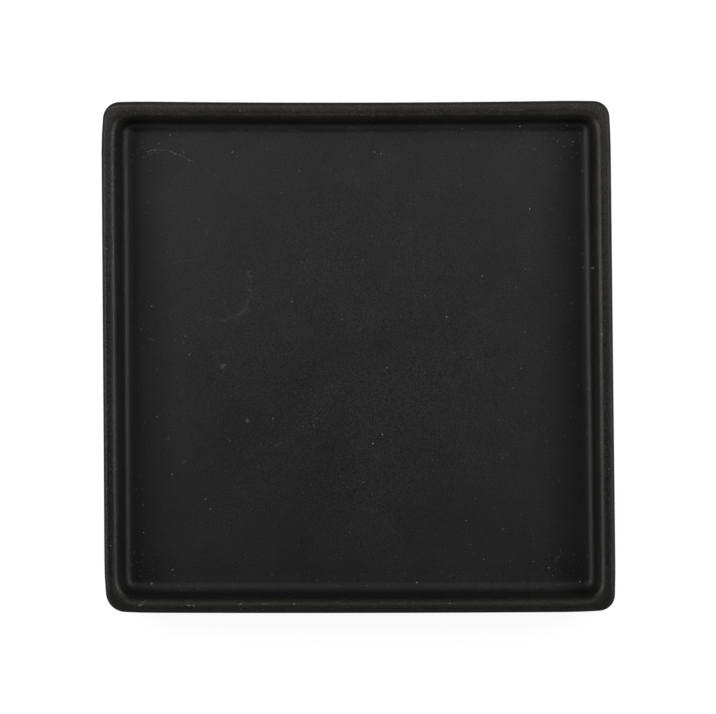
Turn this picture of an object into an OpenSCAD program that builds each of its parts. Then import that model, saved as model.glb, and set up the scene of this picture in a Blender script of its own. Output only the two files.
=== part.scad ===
// Square dinner plate in dark stoneware: one fired body, a coat of matt glaze over the well,
// rim, outer wall and base edge, and a second coat of glaze inside the bare foot ring.
// Millimetres, Z up. The origin is on the table, under the middle of the plate.

/* [Plate] */
// Width of the plate across its rim, the same both ways
plate_w = 250; // [190:1:320]
// Height from the table to the crest of the rim
plate_h = 22; // [20:0.5:36]
// Thickness of the floor between the two coats' outer faces
floor_t = 5.5; // [4:0.25:8]
// Radius of the plate's outer corners, seen from above
corner_r = 9; // [8:0.5:60]

/* [Rim] */
// Radius of the rim's outer shoulder
outer_shoulder_r = 2.3; // [1.5:0.1:3.8]
// Width of the level crest between the two shoulders
crest_w = 0.4; // [0.2:0.1:2]
// Radius of the rim's inner shoulder
inner_shoulder_r = 4.5; // [1.5:0.1:5]
// Lean of the outer wall, in degrees from upright
outer_lean = 6; // [0:1:9]
// Lean of the inner wall, in degrees from upright
inner_lean = 11; // [0:1:15]
// Radius where the outer wall turns under the plate
heel_r = 6; // [2:0.5:6.5]

/* [Well] */
// Radius of the cove between the inner wall and the floor
cove_r = 5.75; // [2:0.25:7]
// Radius of the level floor's corners, inside the cove
floor_corner_r = 0.5; // [0.5:0.5:40]

/* [Foot ring] */
// Distance from the plate's outer edge to the foot ring
foot_inset = 27; // [15:1:60]
// Height of the foot ring under the base
foot_h = 2.5; // [1.8:0.1:4]
// Width of the bare land that stands on the table
land_w = 4; // [3:0.5:8]
// Extra width of the foot ring on each side, where it meets the base
foot_flare = 0.8; // [0.2:0.1:2]
// Outer corner radius of the foot ring's land
foot_corner_r = 14; // [9:1:45]

/* [Glaze] */
// Thickness of the fused glaze
glaze_t = 0.45; // [0.25:0.05:0.8]
// Height above the table at which the glaze stops on the foot ring
glaze_line = 1.1; // [0.6:0.1:1.5]

/* [Hidden] */
$fn = 96;

// Cuts run this far past the faces that they open
overrun = 1;
quarter_turn = 90;

// Heights of the well's floor and of the plane that the foot ring's core is buried to
floor_z = foot_h + floor_t;
core_z = foot_h + floor_t / 2;

// Places across the rim, measured in from the plate's outer edge
outer_crest_u = outer_shoulder_r;
inner_crest_u = outer_crest_u + crest_w;

// Centres of the heel and of the cove, each tangent to its leaning wall
heel_z = foot_h + heel_r;
cove_z = floor_z + cove_r;
heel_u = outer_crest_u + rise_run(outer_crest_u, plate_h - outer_shoulder_r, heel_r, heel_z, outer_lean);
cove_u = inner_crest_u + wall_run();

// Corner axes of the outer form and of the well, measured in from the plate's outer edge
well_axis_u = cove_u + floor_corner_r;

// How far the heel's centre lies inside the shoulder's centre, with one straight tangent along both
function rise_run(r_top, z_top, r_low, z_low, lean) =
    (r_low - r_top) / cos(lean) + (z_top - z_low) * tan(lean);

// The same from the inner shoulder's centre to the cove's, whose wall lies between the two
function wall_run() =
    (inner_shoulder_r + cove_r) / cos(inner_lean)
    + (plate_h - inner_shoulder_r - cove_z) * tan(inner_lean);

// Half of a square ring's section, placed along four straight sides and turned round four corners.
// The child's x runs outward from the corner's axis, which lies axis_u in from the plate's edge.
module around(axis_u) {
    side = plate_w - 2 * axis_u;
    for (turn = [0 : 3]) {
        rotate(turn * quarter_turn) {
            translate([side / 2, side / 2, 0])
                rotate([quarter_turn, 0, 0])
                    linear_extrude(height = side)
                        children();
            translate([side / 2, side / 2, 0])
                rotate_extrude(angle = quarter_turn)
                    children();
        }
    }
}

// A square block that fills the middle, inside the four corner axes
module middle(axis_u, low_z, high_z) {
    side = plate_w - 2 * axis_u;
    translate([-side / 2, -side / 2, low_z])
        cube([side, side, high_z - low_z]);
}

// Section of the outer form, from the corner's axis outward; skin is how deep it lies in the glaze
module outer_section(skin) {
    top_r = outer_shoulder_r - skin;
    low_r = heel_r - skin;
    top_x = corner_r - outer_crest_u;
    low_x = corner_r - heel_u;
    top_z = plate_h - outer_shoulder_r;
    polygon([
        [0, foot_h + skin],
        [low_x, foot_h + skin],
        [low_x + low_r * cos(outer_lean), heel_z - low_r * sin(outer_lean)],
        [top_x + top_r * cos(outer_lean), top_z - top_r * sin(outer_lean)],
        [top_x, plate_h - skin],
        [0, plate_h - skin],
    ]);
    intersection() {
        union() {
            translate([top_x, top_z])
                circle(r = top_r);
            translate([low_x, heel_z])
                circle(r = low_r);
        }
        square([corner_r, plate_h]);
    }
}

// Section of the well as a solid, from its corner's axis outward and up past the crest
module well_section(skin) {
    top_r = inner_shoulder_r - skin;
    low_r = cove_r + skin;
    top_x = well_axis_u - inner_crest_u;
    low_x = floor_corner_r;
    top_z = plate_h - inner_shoulder_r;
    difference() {
        union() {
            polygon([
                [0, floor_z - skin],
                [low_x, floor_z - skin],
                [low_x + low_r * cos(inner_lean), cove_z - low_r * sin(inner_lean)],
                [top_x - top_r * cos(inner_lean), top_z + top_r * sin(inner_lean)],
                [top_x, top_z],
                [top_x, plate_h + overrun],
                [0, plate_h + overrun],
            ]);
            intersection() {
                translate([low_x, cove_z])
                    circle(r = low_r);
                square([well_axis_u, plate_h]);
            }
        }
        translate([top_x, top_z])
            circle(r = top_r);
    }
}

// The plate without its foot ring
module tray(skin) {
    difference() {
        union() {
            around(corner_r)
                outer_section(skin);
            middle(corner_r, foot_h + skin, plate_h - skin);
        }
        around(well_axis_u)
            well_section(skin);
        middle(well_axis_u, floor_z - skin, plate_h + overrun);
    }
}

// The foot ring from a given height up into the base, coated by the given thickness on both sides
module foot(low_z, coat) {
    slope = foot_flare / foot_h;
    low_flare = low_z * slope + coat;
    core_flare = core_z * slope + coat;
    around(foot_inset + foot_corner_r)
        polygon([
            [foot_corner_r - land_w - low_flare, low_z],
            [foot_corner_r + low_flare, low_z],
            [foot_corner_r + core_flare, core_z],
            [foot_corner_r - land_w - core_flare, core_z],
        ]);
}

// Block inside the middle line of the foot ring, up to the floor's own middle
module base_pool() {
    pool_r = foot_corner_r - land_w / 2;
    around(foot_inset + foot_corner_r)
        square([pool_r, core_z]);
    middle(foot_inset + foot_corner_r, 0, core_z);
}

module fired_clay() {
    tray(glaze_t);
    foot(0, 0);
}

module glaze() {
    difference() {
        union() {
            tray(0);
            foot(glaze_line, glaze_t);
        }
        fired_clay();
    }
}

module stoneware_body() {
    color([0.3, 0.27, 0.25])
        fired_clay();
}

module face_glaze() {
    color([0.13, 0.13, 0.13])
        difference() {
            glaze();
            base_pool();
        }
}

module base_glaze() {
    color([0.15, 0.15, 0.15])
        intersection() {
            glaze();
            base_pool();
        }
}

stoneware_body();
face_glaze();
base_glaze();
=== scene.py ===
import bpy
import bmesh
import math
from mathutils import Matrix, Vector, noise


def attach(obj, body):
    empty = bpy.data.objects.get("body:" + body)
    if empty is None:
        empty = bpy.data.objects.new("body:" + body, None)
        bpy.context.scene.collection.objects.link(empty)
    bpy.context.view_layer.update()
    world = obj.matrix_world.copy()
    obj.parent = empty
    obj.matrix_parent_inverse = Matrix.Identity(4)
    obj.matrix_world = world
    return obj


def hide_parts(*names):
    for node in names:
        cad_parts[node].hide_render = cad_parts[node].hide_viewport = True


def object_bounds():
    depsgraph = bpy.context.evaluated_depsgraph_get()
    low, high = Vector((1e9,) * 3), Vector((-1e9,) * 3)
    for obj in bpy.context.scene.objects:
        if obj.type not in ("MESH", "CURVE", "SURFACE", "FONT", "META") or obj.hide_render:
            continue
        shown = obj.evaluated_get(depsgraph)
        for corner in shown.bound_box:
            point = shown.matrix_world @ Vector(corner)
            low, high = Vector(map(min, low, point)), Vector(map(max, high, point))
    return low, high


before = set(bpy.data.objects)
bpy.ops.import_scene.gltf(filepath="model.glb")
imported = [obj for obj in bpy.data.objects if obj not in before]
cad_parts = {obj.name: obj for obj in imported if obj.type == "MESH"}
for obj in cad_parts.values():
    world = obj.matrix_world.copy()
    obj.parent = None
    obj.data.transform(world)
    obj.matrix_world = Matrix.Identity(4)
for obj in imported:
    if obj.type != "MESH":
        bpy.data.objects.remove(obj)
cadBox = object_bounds()

mm = 0.001
bpy.context.scene.view_settings.view_transform = "Standard"

# what the whole plate shares, as in the solids: millimetres and degrees
plateValues = {
    "cornerRadius": 9.0,
    "outerShoulder": 2.3,
    "crestWidth": 0.4,
    "innerShoulder": 4.5,
    "outerLean": 6.0,
    "innerLean": 11.0,
    "heelRadius": 6.0,
    "coveRadius": 5.75,
    "floorThickness": 5.5,
    "floorCorner": 0.5,
    "footInset": 27.0,
    "footHeight": 2.5,
    "footCorner": 14.0,
    "landWidth": 4.0,
    "footFlare": 0.8,
    "glazeThickness": 0.45,
    "glazeLine": 1.1,
    "landEdgeIn": 0.25,  # the rubbed edges of the land, which the solids leave sharp
    "landEdgeUp": 0.3,
}

# how far drying and firing moved it, in millimetres, and each corner's own roundness; a corner is given
# as (side, end), with -1 for left or near and 1 for right or far
kilnValues = {
    "skewAcross": 0.45,  # these six are at the plate's edge
    "skewAlong": 0.44,
    "keystone": 0.27,
    "stretchAlong": 0.15,
    "farBow": 1.0,
    "nearBow": 0.4,
    "farBowShare": 0.45,  # share of the bow that moves its middle nearer; the rest moves its ends further
    "nearBowShare": 0.8,
    "cornerShares": {(-1, 1): 0.93, (1, 1): 0.86, (-1, -1): 1.04, (1, -1): 0.89},
    "cornerPulls": {
        (-1, 1): (0.86, 0.38),
        (1, 1): (0.5, 0.36),
        (-1, -1): (0.78, 0.42),
        (1, -1): (0.36, 0.52),
    },
    "pullReach": (5.0, 22.0),
    "rimWidths": {"left": 0.0, "right": 0.6, "far": 0.6, "near": 0.7},
    "growHeights": (9.0, 18.0),
    "growInsets": (2.2, 3.4),
    "growReach": (12.0, 20.0),
    "rimWave": 0.15,
    "waveFrom": 0.2,  # share of the plate's height where the wave starts
    "waveScale": 1.7,
    "wavePlace": (3.1, 0.4),
    "floorSag": 0.3,
    "sagReach": 1.4,
    "sagBelow": 0.5,  # share of the plate's height that sags
    "sagFullAt": 4.0,
}

# how finely the rings are cut, and the level rings inside a flat face, in millimetres
ringValues = {
    "sideSteps": 28,
    "cornerSteps": 12,
    "arcSteps": 9,
    "wallRings": 2,
    "floorRings": 11,
    "underRings": 4,
    "poolRings": 8,
    "holdInset": 5.0,
    "middleCorner": 0.5,
    "middleHalf": 6.0,
}

halfWidth = (cadBox[1][0] - cadBox[0][0]) / 2
plateHeight = cadBox[1][2] - cadBox[0][2]


def metres(values):
    return [value * mm for value in values]


def sizeOf(name):
    return plateValues[name] * mm


# rings: each is a rounded square, given as (inset from the plate's edge, corner radius, height)

def arcRing(centre, radius, side, angle, cornerAxis):
    # the ring at one angle of an arc of the section; the corner's axis is given from the plate's edge
    inset = centre[0] - side * radius * math.cos(angle)
    return (inset, cornerAxis - inset, centre[1] + radius * math.sin(angle))


def sweep(centre, radius, side, start, end, cornerAxis):
    steps = ringValues["arcSteps"]
    turns = [math.radians(start + (end - start) * i / steps) for i in range(steps + 1)]
    return [arcRing(centre, radius, side, turn, cornerAxis) for turn in turns]


def between(first, last, count):
    # rings evenly spaced between two others, without those two
    shares = [i / (count + 1) for i in range(1, count + 1)]
    return [tuple(a + (b - a) * share for a, b in zip(first, last)) for share in shares]


def wallRun(lean, radii, drop):
    # how far in from the upper arc's centre the lower one lies, with one straight leaning wall along both
    angle = math.radians(plateValues[lean])
    return radii / math.cos(angle) + drop * math.tan(angle)


def rimCentres():
    # centres of the four arcs of the rim's section, as (inset, height)
    outerTop = (sizeOf("outerShoulder"), plateHeight - sizeOf("outerShoulder"))
    innerTop = (outerTop[0] + sizeOf("crestWidth"), plateHeight - sizeOf("innerShoulder"))
    heelHeight = sizeOf("footHeight") + sizeOf("heelRadius")
    coveHeight = sizeOf("footHeight") + sizeOf("floorThickness") + sizeOf("coveRadius")
    heelRun = wallRun("outerLean", sizeOf("heelRadius") - sizeOf("outerShoulder"), outerTop[1] - heelHeight)
    coveRun = wallRun("innerLean", sizeOf("innerShoulder") + sizeOf("coveRadius"), innerTop[1] - coveHeight)
    return {
        "outerTop": outerTop,
        "innerTop": innerTop,
        "heel": (outerTop[0] + heelRun, heelHeight),
        "cove": (innerTop[0] + coveRun, coveHeight),
    }


# how far from the middle the level floor reaches
floorEdge = halfWidth - rimCentres()["cove"][0]


def outFromFloor(values):
    # places given in millimetres outward from the floor's edge
    return [floorEdge + value for value in metres(values)]


def traySection(skin):
    # from the edge of the base up over the rim and down to the edge of the floor;
    # skin is how deep the section lies under the face of the glaze
    at = rimCentres()
    outerAxis = sizeOf("cornerRadius")
    wellAxis = at["cove"][0] + sizeOf("floorCorner")
    outerLean, innerLean = plateValues["outerLean"], plateValues["innerLean"]
    heel = sweep(at["heel"], sizeOf("heelRadius") - skin, 1, -90, -outerLean, outerAxis)
    outer = sweep(at["outerTop"], sizeOf("outerShoulder") - skin, 1, -outerLean, 90, outerAxis)
    inner = sweep(at["innerTop"], sizeOf("innerShoulder") - skin, -1, 90, innerLean, wellAxis)
    cove = sweep(at["cove"], sizeOf("coveRadius") + skin, 1, 360 - innerLean, 270, wellAxis)
    outerWall = between(heel[-1], outer[0], ringValues["wallRings"])
    innerWall = between(inner[-1], cove[0], ringValues["wallRings"])
    return heel + outerWall + outer + inner + innerWall + cove


def towardsMiddle(last, count):
    # ever smaller squares that fill a level face, left open for one last face in the middle;
    # the first lies close to the edge, so that the face's shading stays level
    inset, corner, height = last
    hold = ringValues["holdInset"] * mm
    leastCorner = ringValues["middleCorner"] * mm
    first = (inset + hold, max(corner - hold, leastCorner), height)
    target = (halfWidth - ringValues["middleHalf"] * mm, leastCorner, height)
    return [first] + between(first, target, count) + [target]


def footRing(height, coat, outside):
    # the foot ring's flank at a height above the table, flaring towards the base
    flare = sizeOf("footFlare") * height / sizeOf("footHeight") + coat
    axis = sizeOf("footInset") + sizeOf("footCorner")
    inset = sizeOf("footInset") - flare if outside else sizeOf("footInset") + sizeOf("landWidth") + flare
    return (inset, axis - inset, height)


def cornerArc(ring, quarter):
    # centre and radius of a ring's corner; the quarters are near left, near right, far right and far left
    side = -1 if quarter % 4 in (0, 3) else 1
    end = -1 if quarter % 4 in (0, 1) else 1
    reach = halfWidth - ring[0]
    radius = min(ring[1] * kilnValues["cornerShares"][(side, end)], reach)
    return (side * (reach - radius), end * (reach - radius), radius)


def onArc(arc, angle):
    x, y, radius = arc
    return Vector((x + radius * math.cos(angle), y + radius * math.sin(angle)))


def ringPoints(ring):
    # the points of one ring in order round the plate, from the near end of its left side
    points = []
    for quarter in range(4):
        arc = cornerArc(ring, quarter)
        start, end = math.radians(90 * quarter - 180), math.radians(90 * quarter - 90)
        steps = ringValues["cornerSteps"]
        points += [onArc(arc, start + (end - start) * step / steps) for step in range(steps + 1)]
        sideStart, sideEnd = onArc(arc, end), onArc(cornerArc(ring, quarter + 1), end)
        steps = ringValues["sideSteps"] + 1
        points += [sideStart.lerp(sideEnd, step / steps) for step in range(1, steps)]
    return [(point.x, point.y, ring[2]) for point in points]


def placeRing(mesh, ring):
    # the selected edge ring takes the ring's place, point by point in order of the number that each carries,
    # and keeps its distance from the plate's edge, in millimetres, for the kiln and the glaze to follow
    number = mesh.verts.layers.int["ringNumber"]
    inset = mesh.verts.layers.float["edgeInset"]
    points = ringPoints(ring)
    for vert in mesh.verts:
        if vert.select:
            vert.co = points[vert[number]]
            vert[inset] = ring[0] / mm


def turnPiece(name, rings, closeStart, closeEnd):
    # a circle is added, then extruded ring by ring along the section
    bpy.ops.object.select_all(action="DESELECT")
    count = 4 * (ringValues["cornerSteps"] + 1 + ringValues["sideSteps"])
    bpy.ops.mesh.primitive_circle_add(vertices=count, radius=halfWidth, fill_type="NOTHING")
    piece = bpy.context.object
    piece.name = piece.data.name = name
    bpy.ops.object.mode_set(mode="EDIT")
    bpy.ops.mesh.select_mode(type="VERT")
    mesh = bmesh.from_edit_mesh(piece.data)
    mesh.verts.layers.int.new("ringNumber")
    mesh.verts.layers.float.new("edgeInset")
    number = mesh.verts.layers.int["ringNumber"]
    inOrder = sorted(mesh.verts, key=lambda vert: math.atan2(vert.co.y, vert.co.x))
    for i, vert in enumerate(inOrder):
        vert[number] = i
    placeRing(mesh, rings[0])
    if closeStart:
        bpy.ops.mesh.edge_face_add()
        bpy.ops.mesh.select_all(action="DESELECT")
        mesh = bmesh.from_edit_mesh(piece.data)
        for edge in mesh.edges:
            edge.select = True
    for ring in rings[1:]:
        bpy.ops.mesh.extrude_edges_move()
        mesh = bmesh.from_edit_mesh(piece.data)
        placeRing(mesh, ring)
    if closeEnd:
        bpy.ops.mesh.edge_face_add()
    bpy.ops.mesh.select_all(action="SELECT")
    bpy.ops.mesh.normals_make_consistent(inside=False)
    bpy.ops.mesh.select_all(action="DESELECT")
    bmesh.update_edit_mesh(piece.data)
    bpy.ops.object.mode_set(mode="OBJECT")
    return piece


def easeBetween(value, low, high):
    share = min(1.0, max(0.0, (value - low) / (high - low)))
    return share * share * (3 - 2 * share)


def cornerPull(fromSide, fromEnd, signs):
    # each corner was drawn in a little, further along its sides than its own curve reaches
    share = 1 - easeBetween(max(fromSide, fromEnd), *kilnValues["pullReach"])
    pull = kilnValues["cornerPulls"][signs]
    return (-signs[0] * pull[0] * share, -signs[1] * pull[1] * share)


def rimGrowth(fromSide, fromEnd, signs, height, inset):
    # the rim is a little thicker on some sides, all of it towards the well
    widths = kilnValues["rimWidths"]
    growX = widths["right"] if signs[0] > 0 else widths["left"]
    growY = widths["far"] if signs[1] > 0 else widths["near"]
    share = easeBetween(height, *kilnValues["growHeights"]) * easeBetween(inset, *kilnValues["growInsets"])
    nearX = 1 - easeBetween(fromSide, *kilnValues["growReach"])
    nearY = 1 - easeBetween(fromEnd, *kilnValues["growReach"])
    return (-signs[0] * growX * share * nearX, -signs[1] * growY * share * nearY)


def sideBow(across, along):
    # the far and near sides aren't straight; across and along go from -1 to 1 over the plate
    end = "far" if along > 0 else "near"
    return kilnValues[end + "Bow"] * along * along * (kilnValues[end + "BowShare"] - across * across)


def rimWave(across, along, height):
    # the rim rises and falls a little along its length
    lift = max(0.0, height / plateHeight - kilnValues["waveFrom"])
    scale, (placeX, placeZ) = kilnValues["waveScale"], kilnValues["wavePlace"]
    wave = noise.noise(Vector((across * scale + placeX, along * scale, placeZ)))
    return kilnValues["rimWave"] * lift * wave


def floorSag(across, along, height):
    # the floor sank a little towards its middle; the land stays on the table
    if height >= kilnValues["sagBelow"] * plateHeight:
        return 0
    inside = max(0.0, 1 - (across * across + along * along) / kilnValues["sagReach"])
    return kilnValues["floorSag"] * inside * min(1, height / mm / kilnValues["sagFullAt"])


def kilnMove(piece):
    # the small skew, bow and sag that show on the real plate, worked out in millimetres
    insets = piece.data.attributes["edgeInset"].data
    for vert in piece.data.vertices:
        x, y, z = vert.co
        across, along = x / halfWidth, y / halfWidth
        fromSide, fromEnd = (halfWidth - abs(x)) / mm, (halfWidth - abs(y)) / mm
        signs = (-1 if x < 0 else 1, -1 if y < 0 else 1)
        pullX, pullY = cornerPull(fromSide, fromEnd, signs)
        growX, growY = rimGrowth(fromSide, fromEnd, signs, z / mm, insets[vert.index].value)
        skewX = kilnValues["skewAcross"] * along + kilnValues["keystone"] * along * across
        skewY = kilnValues["skewAlong"] * across - kilnValues["stretchAlong"] * along
        moveX = pullX + growX - skewX
        moveY = pullY + growY - skewY - sideBow(across, along)
        moveZ = rimWave(across, along, z) - floorSag(across, along, z)
        vert.co = (x + moveX * mm, y + moveY * mm, z + moveZ * mm)


def smooth(piece, degrees=50):
    bpy.ops.object.select_all(action="DESELECT")
    piece.select_set(True)
    bpy.context.view_layer.objects.active = piece
    bpy.ops.object.shade_smooth_by_angle(angle=math.radians(degrees))


def thicken(piece, thickness):
    # a coat of glaze, grown inward to the clay
    bpy.context.view_layer.objects.active = piece
    solid = piece.modifiers.new("coat", "SOLIDIFY")
    solid.thickness = thickness
    solid.offset = -1
    solid.use_even_offset = True
    bpy.ops.object.modifier_apply(modifier="coat")


def makeBody():
    # the clay lies one coat below the glaze everywhere but on the foot ring
    skin = sizeOf("glazeThickness")
    edgeIn, edgeUp = sizeOf("landEdgeIn"), sizeOf("landEdgeUp")
    tray = traySection(skin)
    outside = [footRing(sizeOf("footHeight") + skin, 0, True), footRing(edgeUp, 0, True)]
    inside = [footRing(edgeUp, 0, False), footRing(sizeOf("footHeight") + skin, 0, False)]
    land = [
        (inside[0][0] - edgeIn, inside[0][1] + edgeIn, 0),
        (outside[1][0] + edgeIn, outside[1][1] - edgeIn, 0),
    ]
    rings = list(reversed(towardsMiddle(inside[1], ringValues["underRings"])))
    rings += [inside[1], inside[0], land[0], land[1], outside[1], outside[0]]
    rings += between(outside[0], tray[0], ringValues["wallRings"])
    rings += tray + towardsMiddle(tray[-1], ringValues["floorRings"])
    return turnPiece("firedBody", rings, True, True)


def glazedFlank(outside):
    # from the line where the glaze stops on the foot ring up to the base
    coat = sizeOf("glazeThickness")
    return [footRing(sizeOf(height), coat, outside) for height in ("glazeLine", "footHeight")]


def makeFaceGlaze():
    tray = traySection(0)
    rings = glazedFlank(True)
    rings += between(rings[-1], tray[0], ringValues["wallRings"])
    rings += tray + towardsMiddle(tray[-1], ringValues["floorRings"])
    return turnPiece("faceCoat", rings, False, True)


def makeBaseGlaze():
    rings = glazedFlank(False)
    rings += towardsMiddle(rings[-1], ringValues["poolRings"])
    return turnPiece("baseCoat", rings, False, True)


body = makeBody()
faceCoat = makeFaceGlaze()
baseCoat = makeBaseGlaze()
for coat in (faceCoat, baseCoat):
    thicken(coat, sizeOf("glazeThickness"))
for piece in (body, faceCoat, baseCoat):
    kilnMove(piece)
    smooth(piece)
    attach(piece, "root")
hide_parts("stoneware_body")
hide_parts("face_glaze")
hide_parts("base_glaze")
print("pieces made:", [(p.name, len(p.data.polygons)) for p in (body, faceCoat, baseCoat)])


# shader nodes: each helper adds to a tree and gives back the socket to go on from

def fill(tree, socket, value):
    # a socket takes a link from another one, or a plain value
    if isinstance(value, bpy.types.NodeSocket):
        tree.links.new(value, socket)
    else:
        socket.default_value = value


def put(tree, kind, options=None, inOrder=(), **inputs):
    # one node: its options, then its inputs in order, with None for those left alone, or by name
    made = tree.nodes.new("ShaderNode" + kind)
    for option, value in (options or {}).items():
        setattr(made, option, value)
    for i, value in enumerate(inOrder):
        if value is not None:
            fill(tree, made.inputs[i], value)
    for name, value in inputs.items():
        fill(tree, made.inputs[name.replace("_", " ")], value)
    return made


def maths(tree, operation, first, second=None, third=None, clamp=False):
    options = {"operation": operation, "use_clamp": clamp}
    return put(tree, "Math", options, [first, second, third]).outputs[0]


def product(tree, first, *others):
    for other in others:
        first = maths(tree, "MULTIPLY", first, other)
    return first


def vectorMaths(tree, operation, first, second=None):
    made = put(tree, "VectorMath", {"operation": operation}, [first, second])
    return made.outputs["Value" if operation in ("DOT_PRODUCT", "LENGTH") else "Vector"]


def scaled(tree, vector, scale):
    return put(tree, "VectorMath", {"operation": "SCALE"}, Vector=vector, Scale=scale).outputs["Vector"]


def spread(tree, value, low, high, toLow=0.0, toHigh=1.0, eased=False):
    options = {"interpolation_type": "SMOOTHSTEP" if eased else "LINEAR"}
    return put(tree, "MapRange", options, [value, low, high, toLow, toHigh]).outputs[0]


def lean(tree, share, first, second):
    # from the first value to the second, as the share goes from none to all
    return spread(tree, share, 0.0, 1.0, first, second)


def band(tree, value, low, peakFrom, peakTo, high):
    # rises from low to the peak and falls to nothing at high
    rise = spread(tree, value, low, peakFrom, eased=True)
    fall = spread(tree, value, peakTo, high, 1.0, 0.0, eased=True)
    return maths(tree, "MULTIPLY", rise, fall)


def blend(tree, share, first, second):
    # one colour into another; a Mix node has its colours after five sockets for numbers and vectors
    return put(tree, "Mix", {"data_type": "RGBA"}, [share] + [None] * 5 + [first, second]).outputs[2]


def noisy(tree, coordinates, scale, detail, roughness=0.5):
    made = put(tree, "TexNoise", Vector=coordinates, Scale=scale, Detail=detail, Roughness=roughness)
    return made.outputs[0]


def startGroup(name, vectors, numbers, results):
    group = bpy.data.node_groups.new(name, "ShaderNodeTree")
    sockets = [(vector, "INPUT", "NodeSocketVector") for vector in vectors]
    sockets += [(number, "INPUT", "NodeSocketFloat") for number in numbers]
    sockets += [(result, "OUTPUT", "NodeSocketFloat") for result in results]
    for socketName, direction, kind in sockets:
        group.interface.new_socket(socketName, in_out=direction, socket_type=kind)
    return group, group.nodes.new("NodeGroupInput").outputs, group.nodes.new("NodeGroupOutput").inputs


def place(tree, group, **inputs):
    return put(tree, "Group", {"node_tree": group}, **inputs).outputs


# the effects that the finishes share; scales are per metre, and a range is of the noise, from none to one
effectValues = {
    "noiseMiddle": 0.5,
    "noiseRange": (0.3, 0.7),
    "grainRange": (0.3, 0.72),
    "grainBright": 1.4,
    "speckSizes": (0.4, 1.0),
    "speckEdges": (1.0, 2.5),
    "markEdgeScale": 900.0,
    "markWidths": (0.3, 1.5),
    "markFill": 1.7,
    "breakScale": 620.0,
    "breakRange": (0.44, 0.6),
    "breakDepth": 0.88,
    "wanderScale": 120.0,
}


def offMiddle(tree, value):
    # a noise's value, made to vary about none
    return maths(tree, "SUBTRACT", value, effectValues["noiseMiddle"])


def makeGrainGroup():
    # the sandy skin of a glaze or of fired clay: a shade that varies about one, its height, and broad clouds
    numbers = ["Grain Scale", "Grain Depth", "Cloud Scale", "Cloud Depth"]
    group, given, result = startGroup("firedGrain", ["Vector"], numbers, ["Shade", "Height", "Clouds"])
    fine = noisy(group, given["Vector"], given["Grain Scale"], detail=1.5, roughness=0.6)
    clouds = noisy(group, given["Vector"], given["Cloud Scale"], detail=3.0, roughness=0.6)
    dark = maths(group, "SUBTRACT", 1.0, given["Grain Depth"])
    bright = maths(group, "MULTIPLY_ADD", given["Grain Depth"], effectValues["grainBright"], 1.0)
    fineShade = spread(group, fine, *effectValues["grainRange"], dark, bright)
    cloudShade = maths(group, "MULTIPLY_ADD", offMiddle(group, clouds), given["Cloud Depth"], 1.0)
    group.links.new(maths(group, "MULTIPLY", fineShade, cloudShade), result["Shade"])
    group.links.new(fine, result["Height"])
    group.links.new(clouds, result["Clouds"])
    return group


def makeSpeckGroup():
    # stray specks, one in some of the cells of a loose net
    numbers = ["Nets per Metre", "Share", "Size"]
    group, given, result = startGroup("straySpecks", ["Vector"], numbers, ["Mask"])
    net = put(group, "TexVoronoi", Vector=given["Vector"], Scale=given["Nets per Metre"], Randomness=1.0)
    chance = put(group, "SeparateColor", Color=net.outputs["Color"]).outputs
    chosen = maths(group, "LESS_THAN", chance[0], given["Share"])
    reach = maths(group, "MULTIPLY", given["Size"], lean(group, chance[1], *effectValues["speckSizes"]))
    outward = maths(group, "DIVIDE", net.outputs["Distance"], reach)
    dot = maths(group, "SUBTRACT", 1.0, outward, clamp=True)
    soft = maths(group, "MULTIPLY", dot, lean(group, chance[2], *effectValues["speckEdges"]), clamp=True)
    group.links.new(maths(group, "MULTIPLY", soft, chosen), result["Mask"])
    return group


def makeStrokeGroup():
    # a scratch, smudge or dot between two places seen from above, with a ragged edge and, if broken, gaps
    vectors, numbers = ["Vector", "Start", "End"], ["Width", "Strength", "Broken"]
    group, given, result = startGroup("strokeMark", vectors, numbers, ["Mask"])
    flat = vectorMaths(group, "MULTIPLY", given["Vector"], (1.0, 1.0, 0.0))
    fromStart = vectorMaths(group, "SUBTRACT", flat, given["Start"])
    along = vectorMaths(group, "SUBTRACT", given["End"], given["Start"])
    reached = vectorMaths(group, "DOT_PRODUCT", fromStart, along)
    whole = maths(group, "ADD", vectorMaths(group, "DOT_PRODUCT", along, along), 1e-9)  # a dot has no length
    share = maths(group, "DIVIDE", reached, whole, clamp=True)
    nearest = scaled(group, along, share)
    away = vectorMaths(group, "LENGTH", vectorMaths(group, "SUBTRACT", fromStart, nearest))
    ragged = noisy(group, given["Vector"], effectValues["markEdgeScale"], detail=1.0)
    widths = spread(group, ragged, *effectValues["noiseRange"], *effectValues["markWidths"])
    outward = maths(group, "DIVIDE", away, maths(group, "MULTIPLY", given["Width"], widths))
    core = maths(group, "SUBTRACT", 1.0, outward, clamp=True)
    inside = maths(group, "MULTIPLY", core, effectValues["markFill"], clamp=True)
    breaks = noisy(group, given["Vector"], effectValues["breakScale"], detail=2.0)
    gap = spread(group, breaks, *effectValues["breakRange"], effectValues["breakDepth"], 0.0)
    kept = maths(group, "SUBTRACT", 1.0, maths(group, "MULTIPLY", gap, given["Broken"]))
    group.links.new(product(group, inside, kept, given["Strength"]), result["Mask"])
    return group


def makeLevelGroup():
    # how far up the piece a point is, from none at one height to all at another, with a wandering edge
    group, given, result = startGroup("levelMask", ["Vector"], ["Low", "High", "Wander"], ["Mask"])
    height = put(group, "SeparateXYZ", Vector=given["Vector"]).outputs[2]
    loose = noisy(group, given["Vector"], effectValues["wanderScale"], detail=3.0)
    moved = maths(group, "MULTIPLY_ADD", offMiddle(group, loose), given["Wander"], height)
    group.links.new(spread(group, moved, given["Low"], given["High"], eased=True), result["Mask"])
    return group


grainGroup = makeGrainGroup()
speckGroup = makeSpeckGroup()
strokeGroup = makeStrokeGroup()
levelGroup = makeLevelGroup()

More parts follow.
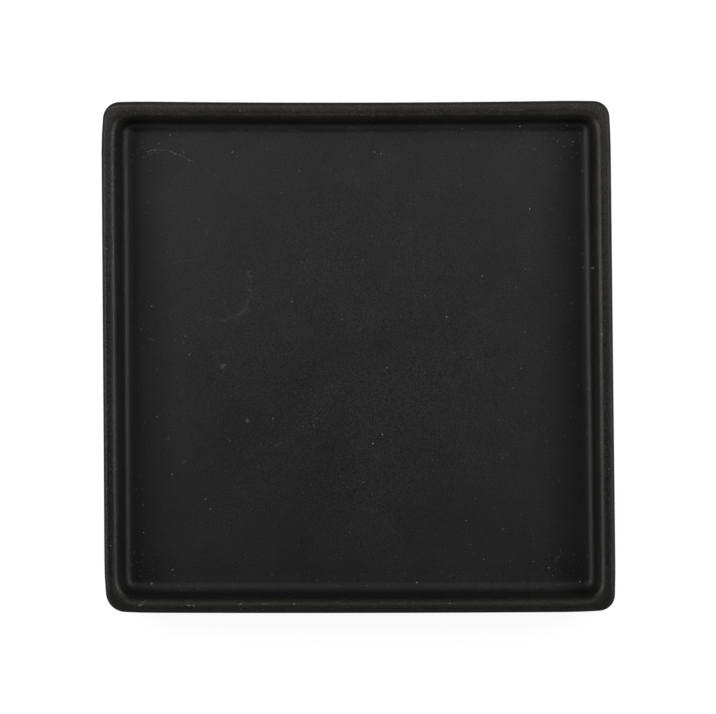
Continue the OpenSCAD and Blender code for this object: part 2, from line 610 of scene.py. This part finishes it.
# the matt black glaze of both coats; heights above the table, wander and bump are in millimetres
glazeValues = {
    "floorColour": (0.0038, 0.0042, 0.0049, 1),
    "rimColour": (0.0046, 0.0046, 0.0045, 1),
    "fleckColour": (0.0146, 0.0132, 0.0116, 1),
    "fleckScale": 1100.0,
    "fleckRange": (0.38, 0.62),
    "fleckDepth": (0.82, 1.2),
    "fleckRoughness": 0.035,
    "rimHeights": (11.0, 17.0),
    "rimWander": 2.0,
    "grainScale": 1900.0,
    "grainDepth": 1.0,
    "cloudScale": 55.0,
    "cloudDepth": 0.8,
    "coveRoughness": 0.42,
    "rimRoughness": 0.36,
    "roughnessSpread": 0.05,
    "roughnessClouds": 0.018,
    "roughnessCloudRange": (0.35, 0.65),
    "gloss": 0.22,
    "bump": 0.11,
}

# marks of use on the face, in millimetres from the plate's middle: start, end, width, strength
faceMarks = {
    "scratches": [
        ((-104.3, 102.5), (-100.7, 103.5), 0.5, 0.3),
        ((-100.7, 103.5), (-94.4, 103.4), 0.45, 0.32),
        ((-94.4, 103.4), (-87.3, 100.6), 0.45, 0.3),
        ((-87.3, 100.6), (-83.8, 98.6), 0.4, 0.3),
        ((-83.8, 98.6), (-81.6, 97.2), 0.45, 0.5),
        ((-86.6, 103.2), (-86.0, 101.4), 0.4, 0.3),
        ((-64.9, -40.2), (-63.6, -41.6), 0.3, 0.7),
        ((-88.0, -52.4), (-85.8, -51.4), 0.28, 0.6),
        ((-98.9, -41.4), (-93.9, -39.4), 0.24, 0.4),
        ((-75.0, 62.9), (-75.2, 60.0), 0.3, 0.3),
        ((-92.9, 47.0), (-76.0, 49.5), 0.35, 0.10),
        ((-75.5, 94.1), (-68.1, 89.1), 0.5, 0.10),
        ((-104.2, 9.7), (-101.4, 9.2), 0.35, 0.35),
        ((-113.4, 5.7), (-111.8, 5.3), 0.4, 0.35),
        ((-94.5, -38.4), (-94.2, -41.0), 0.25, 0.5),
    ],
    "smudges": [
        ((-54.4, 42.2), (-53.4, 29.8), 1.6, 0.10),
        ((-53.4, 29.8), (-57.7, 21.3), 1.6, 0.10),
        ((-57.7, 21.3), (-67.1, 18.8), 1.6, 0.09),
        ((-67.1, 18.8), (-79.0, 20.5), 1.6, 0.07),
        ((-67.3, -4.2), (-66.9, -4.0), 1.4, 0.35),
        ((-55.2, -31.0), (-54.9, -30.6), 1.2, 0.4),
        ((98.2, -100.6), (98.6, -100.4), 1.3, 0.25),
    ],
    "dots": [  # place, width, strength
        ((-104.1, 102.6), 0.45, 0.5),
        ((-102.2, 102.2), 0.4, 0.4),
        ((-100.4, 103.2), 0.6, 0.7),
        ((-99.2, 102.3), 0.4, 0.45),
        ((-103.1, 101.4), 0.4, 0.3),
        ((-32.8, 27.8), 0.5, 0.8),
        ((-8.0, 18.8), 0.45, 0.7),
        ((44.2, 19.8), 0.5, 0.9),
        ((45.5, 14.8), 0.4, 0.7),
        ((-83.8, 1.7), 0.5, 0.7),
        ((-42.3, -30.4), 0.5, 0.8),
        ((-22.1, -33.9), 0.45, 0.7),
        ((53.3, -81.6), 0.5, 0.7),
        ((78.8, 34.3), 0.4, 0.6),
        ((83.1, 11.9), 0.4, 0.6),
        ((76.8, -16.0), 0.4, 0.6),
        ((8.7, 101.9), 0.45, 0.7),
        ((98.0, 107.5), 0.4, 0.35),
        ((99.6, 106.5), 0.4, 0.4),
        ((102.9, 104.0), 0.45, 0.6),
        ((112.0, 43.8), 0.4, 0.5),
        ((-27.6, 47.2), 0.4, 0.6),
        ((86.5, -102.3), 0.5, 0.8),
        ((94.2, -105.3), 0.5, 0.8),
        ((-92.7, -105.3), 0.5, 0.8),
        ((-103.2, -111.9), 0.6, 1.0),
    ],
    "rimNicks": [
        ((-107.6, -120.9), (-106.0, -120.3), 0.4, 0.4),
        ((-105.9, -119.4), (-104.6, -118.9), 0.3, 0.3),
        ((-84.3, -120.7), (-82.9, -121.1), 0.4, 0.6),
        ((-81.2, -121.0), (-80.9, -121.1), 0.4, 0.45),
        ((-58.5, -120.7), (-57.6, -120.4), 0.35, 0.4),
        ((-47.0, -120.6), (-45.0, -120.4), 0.3, 0.35),
        ((-31.9, -120.6), (-31.6, -120.5), 0.35, 0.45),
        ((44.1, -120.6), (44.3, -120.6), 0.35, 0.7),
        ((-122.0, 121.8), (-117.5, 123.1), 0.5, 0.08),
        ((-117.5, 123.1), (-110.5, 123.5), 0.5, 0.06),
        ((69.4, 120.4), (81.2, 120.4), 0.35, 0.1),
        ((119.3, 10.9), (119.5, 10.3), 0.7, 0.25),
        ((116.2, 43.7), (116.3, 43.1), 0.45, 0.4),
    ],
    "rimChips": [
        ((93.2, -121.3), (95.4, -121.1), 0.55, 0.9),
        ((97.7, -121.2), (101.9, -121.0), 0.4, 0.7),
    ],
}
unbrokenMarks = ("dots", "rimNicks")
markColours = {
    "pale": (0.13, 0.13, 0.127, 1),
    "speck": (0.24, 0.24, 0.232, 1),
    "chip": (0.0015, 0.0014, 0.0013, 1),
}


def markMask(tree, coordinates, *kinds):
    # all the strokes of some kinds together, the strongest at each place
    total = None
    for kind in kinds:
        for mark in faceMarks[kind]:
            end, width, strength = mark[-3:]
            start, end = [(x * mm, y * mm, 0) for x, y in (mark[0], end)]
            broken = 0.0 if kind in unbrokenMarks else 1.0
            stroke = place(tree, strokeGroup, Vector=coordinates, Start=start, End=end, Width=width * mm,
                           Strength=strength, Broken=broken)["Mask"]
            total = stroke if total is None else maths(tree, "MAXIMUM", total, stroke)
    return total


def onPlate(tree, coordinates):
    # a point's x, y and z, and how far it is from the middle to either side and to either end
    parts = put(tree, "SeparateXYZ", Vector=coordinates).outputs
    return parts, maths(tree, "ABSOLUTE", parts[0]), maths(tree, "ABSOLUTE", parts[1])


def insetOf(tree):
    # the distance from the plate's edge that each ring kept, in millimetres
    return put(tree, "Attribute", {"attribute_name": "edgeInset"}).outputs["Fac"]


# where one side gives way to the next, in millimetres: past each corner's diagonal, and across the middle
changeValues = {"diagonal": (-1.0, 3.0), "middle": (-1.0, 1.0)}


def onSideRims(tree, wide, deep):
    # the left and right rims, without the far and near ones
    return spread(tree, maths(tree, "SUBTRACT", wide, deep), *metres(changeValues["diagonal"]), eased=True)


def leftOrRight(tree, across, left, right):
    # one value on the left half and another on the right
    return spread(tree, across, *metres(changeValues["middle"]), left, right)


# the floor's haze and painted light, in millimetres: how far out from the floor's edge it starts and over
# how much it fades in, sideways and lengthways, the heights of none and all, and how it clouds and grows;
# the fade along the side walls is painted shade, and the growth from near to far is painted light
floorHazeAndLightValues = {
    "colour": (0.0087, 0.0085, 0.0082, 1),
    "roughness": 0.44,
    "startsAt": (0.0, 6.0),
    "fadesOver": (28.0, 8.0),
    "heights": (12.0, 10.0),
    "cloudScale": 21.0,
    "cloudShares": (0.45, 1.55),
    "paintedLightAlong": (0.7, 1.2),
}


def hazeAndPaintedFloorLight(tree, coordinates):
    # the floor is paler and a little rougher away from the walls; the paling is painted light, with painted
    # shade along the side walls and painted light growing towards the far end, broken up by the glaze's own
    # patchy clouds
    parts, wide, deep = onPlate(tree, coordinates)
    inner = []
    for reach, start, fade in zip((wide, deep), floorHazeAndLightValues["startsAt"], floorHazeAndLightValues["fadesOver"]):
        first = floorEdge + start * mm
        inner.append(spread(tree, reach, first, first - fade * mm, eased=True))
    low = spread(tree, parts[2], *metres(floorHazeAndLightValues["heights"]))
    cloud = noisy(tree, coordinates, floorHazeAndLightValues["cloudScale"], detail=5.0, roughness=0.6)
    patchy = spread(tree, cloud, *effectValues["noiseRange"], *floorHazeAndLightValues["cloudShares"])
    # painted light: the floor grows brighter from the near end to the far end
    along = spread(tree, parts[1], -floorEdge, floorEdge, *floorHazeAndLightValues["paintedLightAlong"])
    return product(tree, inner[0], inner[1], low, maths(tree, "MULTIPLY", patchy, along))


# thin glaze and painted highlight, in millimetres: its share on each side, its bands in from the plate's
# edge, and where it ends
thinGlazeAndHighlightValues = {
    "colour": (0.0225, 0.0207, 0.0184, 1),
    "shares": {"left": 0.4, "right": 0.65, "far": 0.36},
    "sideBand": (3.4, 4.7, 5.4, 6.8),
    "farBand": (-0.4, 0.8, 3.6, 5.8),
    "farEnds": (-2.0, 4.0),
    "farCorners": (95.0, 120.0),
    "farCornerShare": 0.35,
    "heights": (14.0, 17.0),
    "driftScale": 24.0,
    "drift": 3.0,
}


def thinGlazeAndPaintedHighlight(tree, coordinates):
    # a paler colour over the inner shoulder of both side rims, laid where their highlights fall, and over
    # all of the far rim: partly thin glaze, partly painted highlight
    drift = noisy(tree, coordinates, thinGlazeAndHighlightValues["driftScale"], detail=1.5)
    inset = maths(tree, "MULTIPLY_ADD", offMiddle(tree, drift), thinGlazeAndHighlightValues["drift"], insetOf(tree))
    parts, wide, deep = onPlate(tree, coordinates)
    shares = thinGlazeAndHighlightValues["shares"]
    far = spread(tree, maths(tree, "SUBTRACT", parts[1], wide), *metres(thinGlazeAndHighlightValues["farEnds"]), eased=True)
    farFade = spread(tree, wide, *metres(thinGlazeAndHighlightValues["farCorners"]), 1.0, thinGlazeAndHighlightValues["farCornerShare"])
    sideShare = leftOrRight(tree, parts[0], shares["left"], shares["right"])
    sideBand, farBand = band(tree, inset, *thinGlazeAndHighlightValues["sideBand"]), band(tree, inset, *thinGlazeAndHighlightValues["farBand"])
    onSide = product(tree, onSideRims(tree, wide, deep), sideShare, sideBand)
    onFar = product(tree, far, farFade, shares["far"], farBand)
    high = spread(tree, parts[2], *metres(thinGlazeAndHighlightValues["heights"]))
    return maths(tree, "MULTIPLY", maths(tree, "MAXIMUM", onSide, onFar), high)


# dust and specks: bands in millimetres outward from the floor's edge, then each net of specks and its shares
dustValues = {
    "band": (-16.0, -2.0, 3.0, 6.0),
    "corner": (-28.0, -4.0),
    "cornerShares": (0.25, 1.0),
    "heights": (6.0, 7.0),
    "bright": {"nets": 420.0, "share": 0.018, "dusty": 0.10, "size": 0.19},
    "faint": {"nets": 760.0, "share": 0.09, "dusty": 0.30, "size": 0.28},
    "faintOnFloor": 0.16,
    "faintOnRim": 0.3,
    "faintInDust": 0.35,
}


def coveDust(tree, coordinates):
    # dust gathers along the cove, most of all in the corners
    parts, wide, deep = onPlate(tree, coordinates)
    along = band(tree, maths(tree, "MAXIMUM", wide, deep), *outFromFloor(dustValues["band"]))
    cornerRange = (*outFromFloor(dustValues["corner"]), *dustValues["cornerShares"])
    corner = spread(tree, maths(tree, "MINIMUM", wide, deep), *cornerRange, eased=True)
    inTheWell = spread(tree, parts[2], *metres(dustValues["heights"]))
    return product(tree, along, corner, inTheWell)


def speckMask(tree, coordinates, upRim):
    # a few bright specks, and many faint ones that show most on the rim and in the dust
    dust = coveDust(tree, coordinates)
    masks = {}
    for kind in ("bright", "faint"):
        net = dustValues[kind]
        share = maths(tree, "MULTIPLY_ADD", dust, net["dusty"], net["share"])
        masks[kind] = place(tree, speckGroup, Vector=coordinates, Nets_per_Metre=net["nets"], Share=share,
                            Size=net["size"])["Mask"]
    clean = lean(tree, upRim, dustValues["faintOnFloor"], dustValues["faintOnRim"])
    strength = maths(tree, "MULTIPLY_ADD", dust, dustValues["faintInDust"], clean)
    return maths(tree, "MAXIMUM", masks["bright"], maths(tree, "MULTIPLY", masks["faint"], strength))


# each stretch of the rim's roughness, and the painted shade on the near rim, the side crests and the outer
# edge, in bands in from the plate's edge, in millimetres
rimValues = {
    "nearFade": 4.0,
    "paintedNearShade": 0.65,
    "nearCoveRoughness": 0.57,
    "sideFootBand": (12.4, 13.8, 15.0, 30.0),
    "sideFootRoughness": 0.62,
    "crestBand": (1.6, 2.4, 3.2, 4.4),
    "crestOnRight": 0.8,  # the right crest lies this much further in
    "crestEnds": (8.0, -14.0),  # outward from the floor's edge, where the crest fades towards the corners
    "crestRoughness": 0.27,
    "paintedCrestShade": 0.65,
    "outerBand": (0.8, 2.2),
    "outerRoughness": 0.85,
    "paintedOuterShadeBand": (0.3, 1.8),
    "paintedOuterShade": 0.35,
}


def rimRoughnessAndPaintedShade(tree, coordinates, upRim, shade, roughness):
    # the smoother crests, the rougher foot of each wall and the rough outer edge, with painted shade
    # darkening the outer edge, the side crests and the near rim
    inset = insetOf(tree)
    parts, wide, deep = onPlate(tree, coordinates)
    nearRim = spread(tree, parts[1], -floorEdge, -floorEdge - rimValues["nearFade"] * mm, eased=True)
    nearRoughness = lean(tree, upRim, rimValues["nearCoveRoughness"], roughness)
    roughness = lean(tree, nearRim, roughness, nearRoughness)
    sides = onSideRims(tree, wide, deep)
    sideFoot = maths(tree, "MULTIPLY", sides, band(tree, inset, *rimValues["sideFootBand"]))
    roughness = lean(tree, sideFoot, roughness, rimValues["sideFootRoughness"])
    shifted = maths(tree, "SUBTRACT", inset, leftOrRight(tree, parts[0], 0.0, rimValues["crestOnRight"]))
    clear = spread(tree, deep, *outFromFloor(rimValues["crestEnds"]), eased=True)
    crest = product(tree, sides, clear, band(tree, shifted, *rimValues["crestBand"]))
    roughness = lean(tree, crest, roughness, rimValues["crestRoughness"])
    roughness = spread(tree, inset, *rimValues["outerBand"], rimValues["outerRoughness"], roughness)
    # painted shade: the outer edge, the side crests between their highlights and the whole near rim are
    # darkened
    paintedOuterShade = spread(tree, inset, *rimValues["paintedOuterShadeBand"], rimValues["paintedOuterShade"], 1.0)
    paintedCrestShade = lean(tree, crest, 1.0, rimValues["paintedCrestShade"])
    paintedNearShade = lean(tree, maths(tree, "MULTIPLY", nearRim, upRim), 1.0, rimValues["paintedNearShade"])
    return product(tree, shade, paintedOuterShade, paintedCrestShade, paintedNearShade), roughness


def startMaterial(name):
    material = bpy.data.materials.new(name)
    material.use_nodes = True
    return material, material.node_tree, material.node_tree.nodes["Principled BSDF"]


def firedGrain(tree, coordinates, values):
    return place(tree, grainGroup, Vector=coordinates, Grain_Scale=values["grainScale"],
                 Grain_Depth=values["grainDepth"], Cloud_Scale=values["cloudScale"],
                 Cloud_Depth=values["cloudDepth"])


def finishMaterial(tree, shader, colour, roughness, height, values):
    tree.links.new(colour, shader.inputs["Base Color"])
    tree.links.new(roughness, shader.inputs["Roughness"])
    shader.inputs["Specular IOR Level"].default_value = values["gloss"]
    bump = put(tree, "Bump", Height=height, Distance=values["bump"] * mm, Strength=1.0)
    tree.links.new(bump.outputs["Normal"], shader.inputs["Normal"])


def makeGlaze(name, onFace):
    material, tree, shader = startMaterial(name)
    coordinates = put(tree, "TexCoord").outputs["Object"]
    grain = firedGrain(tree, coordinates, glazeValues)
    low, high = metres(glazeValues["rimHeights"])
    upRim = place(tree, levelGroup, Vector=coordinates, Low=low, High=high,
                  Wander=glazeValues["rimWander"] * mm)["Mask"]
    fleckNoise = noisy(tree, coordinates, glazeValues["fleckScale"], detail=3.0, roughness=0.65)
    flecks = spread(tree, fleckNoise, *glazeValues["fleckRange"])
    rimColour = blend(tree, flecks, glazeValues["rimColour"], glazeValues["fleckColour"])
    colour = blend(tree, upRim, glazeValues["floorColour"], rimColour)
    fleckShade = lean(tree, flecks, *glazeValues["fleckDepth"])
    shade = maths(tree, "MULTIPLY", grain["Shade"], lean(tree, upRim, 1.0, fleckShade))
    sandy = lean(tree, flecks, glazeValues["fleckRoughness"], -glazeValues["fleckRoughness"])
    rimRoughness = maths(tree, "ADD", sandy, glazeValues["rimRoughness"])
    roughness = lean(tree, upRim, glazeValues["coveRoughness"], rimRoughness)
    if onFace:
        # painted light and shade on the floor, with the haze's roughness
        hazeAndLight = hazeAndPaintedFloorLight(tree, coordinates)
        roughness = lean(tree, hazeAndLight, roughness, floorHazeAndLightValues["roughness"])
        colour = blend(tree, hazeAndLight, colour, floorHazeAndLightValues["colour"])
        # painted highlight on the side shoulders and the far rim, with thin glaze
        colour = blend(tree, thinGlazeAndPaintedHighlight(tree, coordinates), colour, thinGlazeAndHighlightValues["colour"])
        # the rim's roughness, and painted shade on its outer edge, side crests and near rim
        shade, roughness = rimRoughnessAndPaintedShade(tree, coordinates, upRim, shade, roughness)
    specks = speckMask(tree, coordinates, upRim)
    colour = blend(tree, specks, scaled(tree, colour, shade), markColours["speck"])
    if onFace:
        pale = markMask(tree, coordinates, "scratches", "smudges", "dots")
        colour = blend(tree, pale, colour, markColours["pale"])
        colour = blend(tree, markMask(tree, coordinates, "rimNicks"), colour, markColours["speck"])
        colour = blend(tree, markMask(tree, coordinates, "rimChips"), colour, markColours["chip"])
    grainy, cloudy = glazeValues["roughnessSpread"], glazeValues["roughnessClouds"]
    sandiness = spread(tree, grain["Height"], *effectValues["noiseRange"], -grainy, grainy)
    uneven = spread(tree, grain["Clouds"], *glazeValues["roughnessCloudRange"], cloudy, -cloudy)
    roughness = maths(tree, "ADD", maths(tree, "ADD", roughness, sandiness), uneven)
    finishMaterial(tree, shader, colour, roughness, grain["Height"], glazeValues)
    return material


# the bare fired clay of the foot ring; heights, wander and bump are in millimetres, and ranges are of shade
clayValues = {
    "darkColour": (0.045, 0.036, 0.029, 1),
    "paleColour": (0.10, 0.084, 0.068, 1),
    "ironColour": (0.012, 0.008, 0.006, 1),
    "wornColour": (0.17, 0.155, 0.135, 1),
    "paleRange": (0.7, 1.3),
    "wornRange": (0.9, 1.3),
    "wornHeights": (0.05, 0.35),
    "wornWander": 0.4,
    "ironNets": 420.0,
    "ironShare": 0.35,
    "ironSize": 0.25,
    "grainScale": 2200.0,
    "grainDepth": 0.7,
    "cloudScale": 90.0,
    "cloudDepth": 0.8,
    "roughness": (0.80, 0.92),
    "gloss": 0.25,
    "bump": 0.12,
}


def makeClay():
    material, tree, shader = startMaterial("bareClay")
    coordinates = put(tree, "TexCoord").outputs["Object"]
    grain = firedGrain(tree, coordinates, clayValues)
    share = spread(tree, grain["Shade"], *clayValues["paleRange"])
    colour = blend(tree, share, clayValues["darkColour"], clayValues["paleColour"])
    iron = place(tree, speckGroup, Vector=coordinates, Nets_per_Metre=clayValues["ironNets"],
                 Share=clayValues["ironShare"], Size=clayValues["ironSize"])["Mask"]
    colour = blend(tree, iron, colour, clayValues["ironColour"])
    low, high = metres(clayValues["wornHeights"])
    raised = place(tree, levelGroup, Vector=coordinates, Low=low, High=high,
                   Wander=clayValues["wornWander"] * mm)["Mask"]
    onLand = maths(tree, "SUBTRACT", 1.0, raised)
    worn = maths(tree, "MULTIPLY", onLand, spread(tree, grain["Shade"], *clayValues["wornRange"]))
    colour = blend(tree, worn, colour, clayValues["wornColour"])
    roughness = spread(tree, grain["Height"], *effectValues["noiseRange"], *clayValues["roughness"])
    finishMaterial(tree, shader, colour, roughness, grain["Height"], clayValues)
    return material


faceCoat.data.materials.append(makeGlaze("mattGlaze", True))
baseCoat.data.materials.append(makeGlaze("baseGlaze", False))
body.data.materials.append(makeClay())
print("finishes mixed:", len(bpy.data.node_groups), "shared effects")


# the table, a wide pale sheet just under the plate that reads white to the camera and keeps a faint shadow
tableValues = {
    "width": 30.0,
    "gap": 0.1 * mm,
    "colour": (0.8, 0.8, 0.8, 1),
    "seenColour": (0.12, 0.12, 0.12, 1),
    "glow": 0.9,
    "glowColour": (1, 1, 1, 1),
    "roughness": 0.9,
}


def seenRays(tree):
    # camera, glossy and transmission rays, which look at a backdrop rather than being lit by it
    path = put(tree, "LightPath").outputs
    first = maths(tree, "MAXIMUM", path["Is Camera Ray"], path["Is Glossy Ray"])
    return maths(tree, "MAXIMUM", first, path["Is Transmission Ray"])


def makeTable():
    height = cadBox[0][2] - tableValues["gap"]
    bpy.ops.mesh.primitive_plane_add(size=tableValues["width"], location=(0, 0, height))
    sheet = bpy.context.object
    sheet.name = "table"
    material, tree, shader = startMaterial("paleTable")
    seen = seenRays(tree)
    colour = blend(tree, seen, tableValues["colour"], tableValues["seenColour"])
    tree.links.new(colour, shader.inputs["Base Color"])
    shader.inputs["Roughness"].default_value = tableValues["roughness"]
    shader.inputs["Specular IOR Level"].default_value = 0.0
    shader.inputs["Emission Color"].default_value = tableValues["glowColour"]
    tree.links.new(maths(tree, "MULTIPLY", seen, tableValues["glow"]), shader.inputs["Emission Strength"])
    sheet.data.materials.append(material)


makeTable()

# lamps: where each stands, how wide and tall it is, and its power; all look at the plate's middle
lampValues = {
    "leftHigh": {"place": (-0.42, 0.20, 0.40), "wide": 0.4, "tall": 0.09, "watts": 1.26},
    "leftMiddle": {"place": (-0.42, 0.20, 0.275), "wide": 0.4, "tall": 0.09, "watts": 0.21},
    "leftLow": {"place": (-0.42, -0.06, 0.20), "wide": 0.4, "tall": 0.09, "watts": 1.12},
    "rightHigh": {"place": (0.42, 0.20, 0.40), "wide": 0.4, "tall": 0.09, "watts": 0.50},
    "rightMiddle": {"place": (0.42, 0.20, 0.235), "wide": 0.4, "tall": 0.13, "watts": 0.75},
    "rightLow": {"place": (0.42, -0.04, 0.20), "wide": 0.4, "tall": 0.09, "watts": 1.03},
    "farSoft": {"place": (0.0, 0.50, 1.18), "wide": 0.7, "tall": 0.5, "watts": 2.8},
    "farLow": {"place": (0.0, 0.60, 0.35), "wide": 0.6, "tall": 0.16, "watts": 0.18},
    "nearLow": {"place": (0.0, -0.60, 0.35), "wide": 0.6, "tall": 0.2, "watts": 0.68},
    "overhead": {"place": (0.0, 0.02, 1.5), "wide": 0.8, "tall": 0.8, "watts": 0.6},
}


def makeLamps():
    for name, lamp in lampValues.items():
        bpy.ops.object.light_add(type="AREA", location=lamp["place"])
        light = bpy.context.object
        light.name = name
        light.data.shape = "RECTANGLE"
        light.data.size = lamp["wide"]
        light.data.size_y = lamp["tall"]
        light.data.energy = lamp["watts"]
        light.rotation_euler = Vector(lamp["place"]).to_track_quat("Z", "Y").to_euler()


makeLamps()

# a dim grey room, which reads white where the camera sees it past the table, and doesn't light the glaze so
roomValues = {"colour": (0.05, 0.05, 0.05, 1), "seenColour": (0.95, 0.95, 0.95, 1)}


def makeRoom():
    world = bpy.data.worlds.new("studio")
    bpy.context.scene.world = world
    world.use_nodes = True
    tree = world.node_tree
    seenByCamera = put(tree, "LightPath").outputs["Is Camera Ray"]
    colour = blend(tree, seenByCamera, roomValues["colour"], roomValues["seenColour"])
    tree.links.new(colour, tree.nodes["Background"].inputs["Color"])


makeRoom()
print("lamps and table set:", len(lampValues), "lamps")

# the camera, straight above the plate; the view's width is in metres at the rim, and the roll in degrees
cameraValues = {"lens": 85.0, "sensor": 36.0, "viewWidth": 0.3509, "roll": -0.31, "clip": (0.05, 20.0)}


def makeCamera():
    bpy.ops.object.camera_add()
    camera = bpy.context.object
    camera.data.lens = cameraValues["lens"]
    camera.data.sensor_width = cameraValues["sensor"]
    camera.data.clip_start, camera.data.clip_end = cameraValues["clip"]
    distance = cameraValues["lens"] / cameraValues["sensor"] * cameraValues["viewWidth"]
    camera.location = (0, 0, plateHeight - sizeOf("outerShoulder") + distance)
    camera.rotation_euler = (0, 0, math.radians(cameraValues["roll"]))
    bpy.context.scene.camera = camera


makeCamera()
